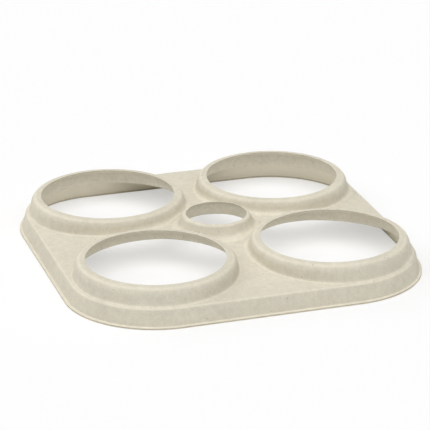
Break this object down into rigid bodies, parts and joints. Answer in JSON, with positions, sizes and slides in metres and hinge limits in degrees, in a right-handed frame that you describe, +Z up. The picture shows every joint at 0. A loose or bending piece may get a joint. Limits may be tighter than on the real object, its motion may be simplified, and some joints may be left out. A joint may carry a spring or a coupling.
{
  "type": "can carrier ring",
  "caption": "Square moulded-pulp carrier tray with rounded corners, raised round collars that grip drinks cans by the neck and a central finger hole.",
  "frame": {"origin": "centre of the finger hole, on the plane the foot flange rests on", "axes": "+Z up through the finger hole, X and Y along the straight sides, -Y to the front"},
  "size_m": [0.1388, 0.1388, 0.0145],
  "materials": {
    "bagasse": "matte"
  },
  "bodies": {
    "root": {"carrier_ring": "bagasse"}
  },
  "joints": []
}
